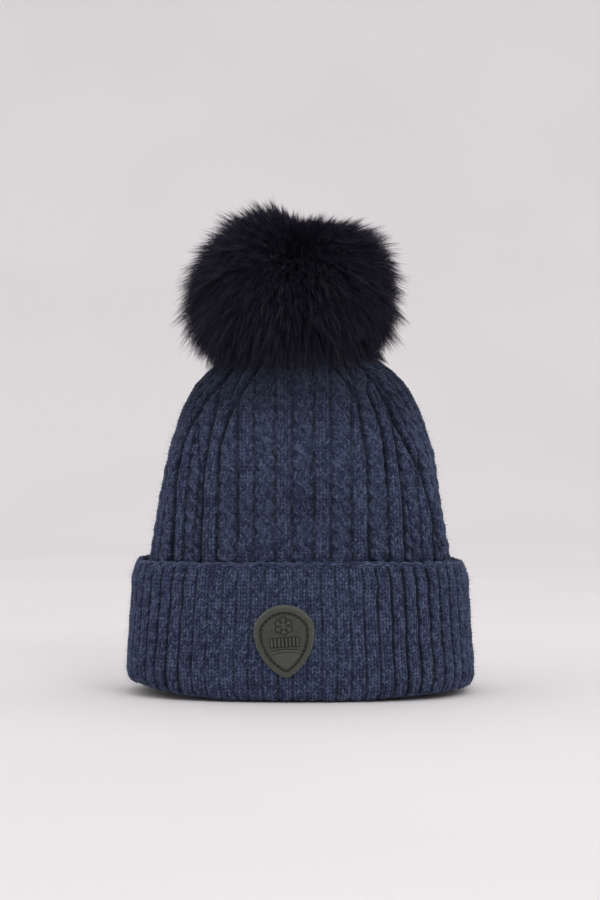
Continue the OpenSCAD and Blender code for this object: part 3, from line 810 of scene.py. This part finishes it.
def make_patch():
    around, out = 480, 150
    angles = circle(around)
    share = np.concatenate([np.linspace(0.002, 0.9, out - 50), np.linspace(0.9, 1, 51)[1:]])
    edge = shield_edge(angles)
    x, y = share[:, None] * edge * np.cos(angles), share[:, None] * edge * np.sin(angles)
    depth = inside_shield(x, y)
    thick, groove_at = 1.7, groove_inset(angles)
    bevel = 0.75 * (1 - smooth(depth / 1.1))
    groove = 0.75 * np.exp(-((depth - groove_at) / 0.65) ** 2)
    panel = 0.28 * smooth((depth - groove_at - 0.3) / 0.8)
    lower = 0.22 * smooth((-4.7 - y) / 0.5) * smooth((depth - groove_at - 1) / 0.6)
    dents = 0.05 * np.sin(x * 1.9 + np.sin(y * 1.3)) * np.sin(y * 2.1 + np.cos(x * 1.1))
    field = depth > groove_at + 0.8
    raised = emblem(x, y) * field
    moat = np.clip(emblem(x, y, 0.5) - raised, 0, 1) * field
    top = thick - bevel - groove - panel + lower + 0.4 * raised - 0.22 * moat + dents
    front = on_cuff(x, y, PATCH_OFF + top)
    rim = [on_cuff(x[-1] * k, y[-1] * k, PATCH_OFF + h) for k, h in ((1.004, 0.7), (1.004, 0.25), (0.99, 0.0))]
    back = [on_cuff(x[i], y[i], PATCH_OFF) for i in (-20, 60, 0)]
    points = np.concatenate([front.reshape(-1, 3)] + rim + back)
    rows = len(points) // around
    # wear and painted shade for the relief attribute: raised design, edges and lower plate paler as wear; painted
    # shade in the groove and the moat round the design; the sunk panel above the plate darker
    shown = (0.6 + 0.42 * raised - 0.55 * moat - 0.95 * groove / 0.75 + 0.36 * smooth((1.4 - depth) / 1.0)
             - 0.14 * (depth > groove_at) * (y > -4.7) + 0.5 * lower)
    relief = np.clip(np.concatenate([shown.ravel(), np.full((rows - out) * around, 0.5)]), 0, 1)
    one = np.arange(around)[None]
    make("shield_patch_leather", points, [quads(rows, around), (rows - 1) * around + one[:, ::-1], one],
         OLIVE, "hat", {"relief": relief}, ["shield_patch"])
    felt_edge = shield_edge(angles, -0.55) + 0.12 * soft_noise(1, around, 1, 3)[0]
    layers = ((0.02, 1.2), (0.5, 1.2), (1.0, 1.2), (1.0, 0.2), (0.5, 0.2), (0.02, 0.2))
    felt = np.concatenate([on_cuff(k * felt_edge * np.cos(angles), k * felt_edge * np.sin(angles), h)
                           for k, h in layers])
    make("patch_felt", felt, [quads(len(layers), around), (len(layers) - 1) * around + one[:, ::-1], one],
         PATCH_FELT, "hat", stands_for=["patch_felt_backing"])


def stitch_run(name, runs, radius, material, node):
    """Short stitches of thread, each an arch along its own run of points, facing the front."""
    steps, sides = len(runs[0]), 8
    turn = circle(sides)
    r = radius * np.sqrt(np.sin(np.linspace(0.12, np.pi - 0.12, steps)))[:, None, None]
    points, faces = [], []
    for base, middle in zip(range(0, len(runs) * steps * sides, steps * sides), runs):
        ahead = unit(np.gradient(middle, axis=0))
        side = unit(np.cross(ahead, [0, -1, 0]))
        up = np.cross(side, ahead)
        shape = middle[:, None] + r * (np.cos(turn)[None, :, None] * side[:, None]
                                       + np.sin(turn)[None, :, None] * up[:, None])
        points.append(shape.reshape(-1, 3))
        one = base + np.arange(sides)[None]
        faces += [quads(steps, sides) + base, one[:, ::-1], one + (steps - 1) * sides]
    make(name, np.concatenate(points), faces, material, "hat", stands_for=[node])


def make_patch_stitches():
    """Waxed thread along the patch's groove."""
    angles = np.linspace(0, 2 * np.pi, 1441)
    edge = shield_edge(angles, groove_inset(angles))
    line = np.stack([edge * np.cos(angles), edge * np.sin(angles)], -1)
    s = along(line)
    pitch, length, steps = 3.05, 2.2, 9
    count = int(s[-1] / pitch)
    lift = 0.35 * np.sin(np.linspace(0, np.pi, steps))
    runs = []
    for k in range(count):
        at = (k + 0.5 - length / pitch / 2 + np.linspace(0, 1, steps) * length / pitch) * s[-1] / count
        runs.append(on_cuff(np.interp(at, s, line[:, 0]), np.interp(at, s, line[:, 1]), 2.15 + lift))
    stitch_run("patch_stitches", runs, 0.36, DARK_THREAD, "patch_stitching")


# ---- Fur ----
POM = np.array([-3.0, 0.0, 246.0])      # the middle that the hair grows out from
HAIR_STEPS, HAIR_RADIUS = 6, 0.2
HAIR_TAPER = np.array([[1.0, 1.0, 0.88, 0.66, 0.38]])
POST_R = 1.75                           # the hole for the snap's rivet
# Each lobe: middle, half width, half depth, height above, power above, drop below, power below
LOBES = ((np.array([-21.0, 0, 246]), 54.0, 61.0, 59.5, 1.7, 48.0, 2.8),
         (np.array([12.0, 2, 237]), 51.5, 58.0, 59.0, 3.0, 36.0, 2.2))


def in_fur(points):
    within = np.zeros(points.shape[:-1], bool)
    for middle, wide, deep, above, power_up, below, power_down in LOBES:
        x, y, z = np.moveaxis(points - middle, -1, 0)
        up = z > 0
        flat = np.hypot(x / wide, y / deep)
        facing = (y / deep / np.maximum(flat, 1e-6)) ** 2
        power = np.where(up, power_up, power_down + 1.4 * facing)
        within |= flat ** power + np.abs(z / np.where(up, above, below + 6 * facing)) ** power < 1
    return within


def fur_reach(ways):
    """Distance from the pom pom's middle to the ends of its hair along each direction."""
    return edge_reach(lambda r: in_fur(POM + ways * r[:, None]), len(ways), 90.0, 20)


def spread(count, jitter):
    """Directions spread evenly over a sphere."""
    k = np.arange(count) + 0.5
    z, turn = 1 - 2 * k / count, np.pi * (1 + 5 ** 0.5) * k
    ways = polar(np.sqrt(1 - z * z), turn, z)
    return unit(ways + rng.normal(size=ways.shape) * jitter)


CROWN_HEIGHTS = np.arange(150.0, CROWN_Z + 3)


def widest(grid):
    """The knit's greatest distance from the hat's axis at each of CROWN_HEIGHTS."""
    r, z = np.hypot(grid[..., 0], grid[..., 1]), grid[..., 2]
    return np.array([r[np.abs(z - height) < 1.5].max(initial=12) for height in CROWN_HEIGHTS])


def clearance(z):
    """Radius that the crown needs free as the pom pom turns, at height z."""
    return np.where(z < CROWN_Z + 3, np.interp(z, CROWN_HEIGHTS, crown_widest) + 0.6, 0)


def clear_of_crown(points):
    """Moves points out of the space that the crown needs."""
    r = np.maximum(np.hypot(points[..., 0], points[..., 1]), 0.1)
    push = np.maximum(clearance(points[..., 2]) / r, 1)[..., None]
    return np.concatenate([points[..., :2] * push, points[..., 2:]], -1)


def nearest(ways, tufts):
    """Which tuft points most nearly along each of ways."""
    found = np.zeros(len(ways), int)
    for i in range(0, len(ways), 4000):
        found[i:i + 4000] = np.argmax(ways[i:i + 4000] @ tufts.T, axis=1)
    return found


def fur_lines():
    """The pom pom's hairs as lines, the shade of each, and which are long guard hairs."""
    hairs, tuft_count = 70000, 2000
    tip_way = spread(hairs, 0.012)
    reach = fur_reach(tip_way)
    tufts = spread(tuft_count, 0.03)
    tuft = nearest(tip_way, tufts)
    tuft_length = rng.normal(1.0, 0.042, tuft_count)
    tuft_pull = rng.uniform(0.2, 0.68, tuft_count)
    long_hair = rng.random(hairs) < 0.08
    length = tuft_length[tuft] * (1.05 - 0.22 * rng.random(hairs)) + 0.1 * long_hair * rng.random(hairs)
    gathered = unit(tip_way * (1 - tuft_pull[tuft, None]) + tufts[tuft] * tuft_pull[tuft, None]
                    + rng.normal(size=(hairs, 3)) * 0.014)
    tip = POM + gathered * (reach * length)[:, None]
    root_way = unit(tip_way + [0, 0, 0.16])
    root_reach = fur_reach(root_way)
    root = POM + root_way * (root_reach * 0.60)[:, None]
    bend = POM + unit(root_way + 0.35 * tip_way + [0, 0, 0.08]) * (0.5 * (reach + root_reach) * 0.9)[:, None]
    bend += rng.normal(size=bend.shape) * 0.9
    flat_room = np.hypot(tip[:, 0], tip[:, 1]) - clearance(tip[:, 2])
    keep = (flat_room > -9) & (np.hypot(root[:, 0], root[:, 1]) > clearance(root[:, 2]) + 1)
    lines = arcs(root[keep], bend[keep], tip[keep], HAIR_STEPS)
    t = np.linspace(0, 1, HAIR_STEPS)[None, :, None]
    frizz = rng.normal(size=(len(lines), 1, 3)) * 0.24
    lines += frizz * np.sin(t * 7 + rng.uniform(0, 6.28, (len(lines), 1, 1))) * t
    shade = rng.choice(4, len(lines), p=[0.53, 0.36, 0.08, 0.03])
    return lines, shade, long_hair[keep]


def fringe_lines():
    """Longer, thinner hair hanging from the pom pom's lower edge, lowest at the front and back."""
    count = 5000
    turn = rng.uniform(0, 2 * np.pi, count)
    flat = polar(1, turn, 0)
    high = unit(flat + np.array([0, 0, 1]) * rng.uniform(-0.85, -0.45, (count, 1)))
    root = POM + high * (fur_reach(high) * rng.uniform(0.6, 0.85, count))[:, None]
    wisp = (np.abs(np.sin(turn)) > 0.7) & (rng.random(count) < 0.3)
    drop = 195 + 9 * np.cos(turn) ** 2 + 11 * rng.random(count) ** 0.7 - 9 * wisp * rng.random(count)
    end = root.copy()
    end[:, 2] = np.minimum(drop, root[:, 2] - 5)
    end[:, :2] = end[:, :2] * rng.uniform(0.95, 1.1, (count, 1)) + rng.normal(size=(count, 2)) * 1.5
    end = clear_of_crown(end)
    bend = (root + end) / 2 + flat * rng.uniform(1, 3, (count, 1))
    return arcs(root, bend, end, HAIR_STEPS), rng.choice(4, count, p=[0.55, 0.28, 0.14, 0.03])


def make_pom_pom():
    lines, shade, long_hair = fur_lines()
    fringe, fringe_shade = fringe_lines()
    lines = clear_of_crown(np.concatenate([lines, fringe]))
    shade = np.concatenate([shade, fringe_shade])
    thin = np.concatenate([np.where(long_hair, 0.6, 1.0), np.full(len(fringe), 0.62)])
    radii = HAIR_RADIUS * HAIR_TAPER * (thin * rng.uniform(0.75, 1.2, len(thin)))[:, None]
    points, faces = strand_mesh(lines, radii)
    fur = make("pompom_fur_hair", points, faces, FUR_SHADES, "pompom", stands_for=["pompom_fur"])
    index = np.concatenate([np.repeat(shade, len(f) // len(lines)) for f in faces]).astype(np.int32)
    fur.data.polygons.foreach_set("material_index", index)
    make_underfur()
    make_wadding()
    make_pelt()
    washer("pelt_base_disc", "pompom_base_disc", POST_R, 0.05, HIDE, "pompom")
    washer("crown_felt_washer", "crown_felt_disc", POST_R + 0.55, 0.25, FELT, "hat")


def ball_ways(rows, columns):
    """Directions over a ball, from the bottom up."""
    tilt = np.linspace(np.pi - 0.02, 0.02, rows)[:, None]
    return polar(np.sin(tilt), circle(columns), np.cos(tilt))


def ball_faces(rows, columns):
    one = np.arange(columns)[None]
    return [quads(rows, columns), one[:, ::-1], (rows - 1) * columns + one]


def make_underfur():
    """The dense short hair that closes the view into the pom pom: a lumpy mass, coloured darker than the hairs as
    painted shade deep in the fur.
    """
    rows, columns = 150, 300
    ways = ball_ways(rows, columns)
    reach = fur_reach(ways.reshape(-1, 3)).reshape(rows, columns)
    lumps = 1.6 * soft_noise(rows, columns, 6, 10) + 0.8 * soft_noise(rows, columns, 2, 3)
    grid = POM + ways * (0.70 * reach + lumps)[..., None]
    middle_floor = corners("pompom_base_disc")[0][2] + 1.0
    r = np.hypot(grid[..., 0], grid[..., 1])
    grid[..., 2] = np.maximum(grid[..., 2], middle_floor - 18 * smooth((r - 24) / 20))
    grid = clear_of_crown(grid)
    make("pompom_underfur", grid.reshape(-1, 3), ball_faces(rows, columns), UNDERFUR, "pompom")


def make_wadding():
    """The filling: wadding, lumpy where handfuls were pushed in, and flat where it lies on the cap."""
    low, high = corners("pompom_fill")
    rows, columns = 100, 180
    lumps = 1 + 0.55 * soft_noise(rows, columns, 12, 18) + 0.3 * soft_noise(rows, columns, 3, 5)
    grid = ball_ways(rows, columns) * (high[0] - lumps)[..., None] + [0, 0, high[2] - high[0]]
    grid[..., 2] = np.maximum(grid[..., 2], low[2] + 0.05)
    ball = make("pompom_wadding", grid.reshape(-1, 3), ball_faces(rows, columns), WADDING, "pompom",
                stands_for=["pompom_fill"])


def make_pelt():
    """The hide: a bag whose mouth is gathered in pleats round the base disc."""
    low, high = corners("pompom_pelt")
    columns, thick, pleats = 288, 1.4, 22
    middle = high[2] - high[0]
    mouth = math.asin((low[2] - middle) / high[0])
    turn, outer, inner, top = circle(columns), 70, 40, 1.56
    tilt = np.concatenate([np.linspace(mouth, top, outer), np.linspace(top, mouth, inner)])[:, None]
    skin = np.repeat([0.0, thick], [outer, inner])[:, None]
    pleat = (0.5 - 0.5 * np.cos(pleats * turn + 1.5 * np.sin(5 * turn))) * smooth((mouth + 0.9 - tilt) / 0.9)
    dents = 0.2 * (1 + soft_noise(outer + inner, columns, 6, 9))
    r = high[0] - skin - np.where(skin == 0, 0.75 * pleat + dents, 0)
    grid = polar(r * np.cos(tilt), turn, np.maximum(middle + r * np.sin(tilt), low[2]))
    # painted shade in the pleats' folds, through the relief attribute
    values = {"relief": 0.8 - 0.6 * pleat * (skin == 0)}
    bag = make("pompom_pelt_bag", grid.reshape(-1, 3), [quads(outer + inner, columns, True)], HIDE, "pompom",
               values, ["pompom_pelt"])


def washer(name, node, hole, rough, material, body):
    """A soft disc with a hole and a rounded edge, uneven by rough millimetres."""
    low, high = corners(node)
    half, columns = (high[2] - low[2]) / 2, 240
    bend, flat = np.linspace(-np.pi / 2, np.pi / 2, 9)[1:-1], np.linspace(hole, high[0] - half - rough, 24)
    line = np.concatenate([np.stack([flat, 0 * flat], -1),
                           np.stack([flat[-1] + half * np.cos(bend), half + half * np.sin(bend)], -1),
                           np.stack([flat[::-1], 0 * flat + 2 * half], -1)])
    uneven = rough * soft_noise(len(line), columns, 3, 3) * smooth((line[:, :1] - hole - 1) / 2)
    r = line[:, :1] + uneven
    sunk = 0.25 * np.exp(-((line[:, :1] - flat[-1] + 1.6) / 0.5) ** 2) * np.sign(half - line[:, 1:])
    z = low[2] + np.clip(line[:, 1:] + sunk, 0.02, 2 * half - 0.02)
    grid = polar(r, circle(columns), z)
    make(name, grid.reshape(-1, 3), [quads(len(line), columns, True)], material, body,
         {"relief": 0.7 + 0 * r}, [node])


# ---- Labels ----
def sheet_points(x, z, y, thick):
    """A closed thin sheet from grids of x, z and the y of its middle."""
    front, back = np.stack([x, y - thick / 2, z], -1), np.stack([x, y + thick / 2, z], -1)
    rows, cols = x.shape
    loop = np.concatenate([front, back[:, ::-1]], axis=1)
    caps = np.array([[k + 1, k, 2 * cols - 1 - k, 2 * cols - 2 - k] for k in range(cols - 1)])
    return loop.reshape(-1, 3), [quads(rows, 2 * cols), caps, (caps + (rows - 1) * 2 * cols)[:, ::-1]]


def make_label(name, box, node, body, curl, hem):
    """A tape that curls forwards by curl, with a hem: the piece, its width and its length in metres."""
    low, high = box
    x, z = np.meshgrid(np.linspace(low[0], high[0], 41), np.linspace(high[2], low[2], 49))
    hang = (high[2] - z) / (high[2] - low[2])
    middle = (low[1] + high[1]) / 2
    y = middle - curl * hang ** 2 * (0.6 + 0.4 * np.cos((x - low[0]) / (high[0] - low[0]) * np.pi))
    y = y + 0.12 * curl * np.sin(x * 0.5) * hang
    edge = np.minimum(np.minimum(x - low[0], high[0] - x), np.minimum(z - low[2], high[2] - z))
    y = y - hem * 0.12 * smooth((1.4 - edge) / 0.5)
    points, faces = sheet_points(x, z, y, 0.42)
    piece = make(name, points, faces, LABEL_TAPE, body, stands_for=[node])
    return piece, (high[0] - low[0]) * MM, (high[2] - low[2]) * MM


def make_labels():
    care, width, length = make_label("care_label_tape", LABEL, "care_label", "care_label", 1.6, 1)
    make_label("label_tab_tape", TAB, "label_tab", "hat", 0.0, 0)
    low, high = corners("label_stitching")
    count, length, t = 11, 1.9, np.linspace(0, 1, 9)
    middle_x = np.linspace(low[0] + 0.8, high[0] - 0.8, count)
    runs = [np.stack([x + length * (t - 0.5), high[1] + 0.05 - 0.22 * np.sin(np.pi * t),
                      (low[2] + high[2]) / 2 + 0.3 * (t - 0.5)], -1) for x in middle_x]
    stitch_run("label_tab_stitches", runs, 0.17, GREY_THREAD, "label_stitching")


# ---- CAD nodes that keep their shape ----
def paint_nodes():
    paints = {"snap_post": STEEL, "snap_stud": STEEL, "snap_ring_spring": STEEL, "snap_socket": STEEL,
              "snap_cap": STEEL, "back_seam": NAVY_YARN}
    for name, material in paints.items():
        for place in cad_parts[name].material_slots:
            place.material = material


# ---- Stage ----
def make_stage():
    scene = bpy.context.scene
    scene.view_settings.view_transform = "Standard"
    floor_paint = Paint("studio_paper", roughness=0.9)
    floor_paint.colour(floor_paint.ramp(floor_paint.noise(400, detail=1), (0.4, (0.755, 0.735, 0.745)),
                                        (0.6, (0.775, 0.755, 0.765))))
    floor_r, wall_r, wall_top, around = 1.7, 3.6, 1.7, 96
    bend = np.linspace(0, np.pi / 2, 25)
    line = np.concatenate([[[0.02, 0], [0.6, 0], [1.2, 0]],
                           np.stack([floor_r + (wall_r - floor_r) * np.sin(bend),
                                     wall_top * (1 - np.cos(bend))], -1)])
    points = polar(line[:, :1], circle(around), line[:, 1:])
    faces = quads(len(line), around).tolist() + [list(range(around))]
    mesh = bpy.data.meshes.new("studio_sweep")
    mesh.from_pydata(points.reshape(-1, 3).tolist(), [], faces)
    mesh.shade_smooth()
    mesh.materials.append(floor_paint.material)
    sweep = bpy.data.objects.new("studio_sweep", mesh)
    scene.collection.objects.link(sweep)

    world = bpy.data.worlds.new("studio_light")
    scene.world = world
    world.use_nodes = True
    light = world.node_tree.nodes["Background"].inputs
    light["Color"].default_value, light["Strength"].default_value = (1.0, 0.985, 0.99, 1), 0.97
    lamps = (("key_light", (0.9, -1.6, 1.4), (0, 0, 0.15), 1.2, 9),      # name, place, target, size, watts
             ("fill_light", (-1.3, -1.3, 0.8), (0, 0, 0.15), 1.6, 1.2),
             ("top_light", (0, 0.1, 1.6), (0, 0, 0.2), 1.4, 2))
    for name, place, target, size, power in lamps:
        data = bpy.data.lights.new(name, "AREA")
        data.shape, data.size, data.energy = "DISK", size, power
        lamp = bpy.data.objects.new(name, data)
        scene.collection.objects.link(lamp)
        aim(lamp, place, target)


def aim(thing, place, target):
    thing.location = place
    way = np.array(target, float) - np.array(place, float)
    flat = math.hypot(way[0], way[1])
    thing.rotation_euler = (math.atan2(flat, -way[2]), 0, math.atan2(-way[0], way[1]))


def make_camera():
    scene = bpy.context.scene
    data = bpy.data.cameras.new("camera")
    data.sensor_fit = "VERTICAL"
    distance, eye, seen = 1.362, 0.151, 0.567       # to the hat's middle, its height, and the height in view there
    data.angle = 2 * math.atan(seen / 2 / distance)
    camera = bpy.data.objects.new("camera", data)
    scene.collection.objects.link(camera)
    aim(camera, (0, -distance, eye), (0, 0, eye))
    scene.camera = camera


make_camera()
make_stage()
crown_grid, crown_out = make_crown()
crown_widest = widest(crown_grid)
cuff_grid, cuff_out, cuff_sway = make_cuff()
make_bind_off(cuff_sway)
bare = crown_grid[..., 2].max(axis=1) < 180      # rows below the fur
make_fuzz("crown_stray_fibres", crown_grid[bare], crown_out[bare], 7000, 3.4)
make_fuzz("cuff_stray_fibres", cuff_grid, cuff_out, 7000, 3.4)
make_lining()
make_seams()
make_patch()
make_patch_stitches()
make_pom_pom()
make_labels()
paint_nodes()
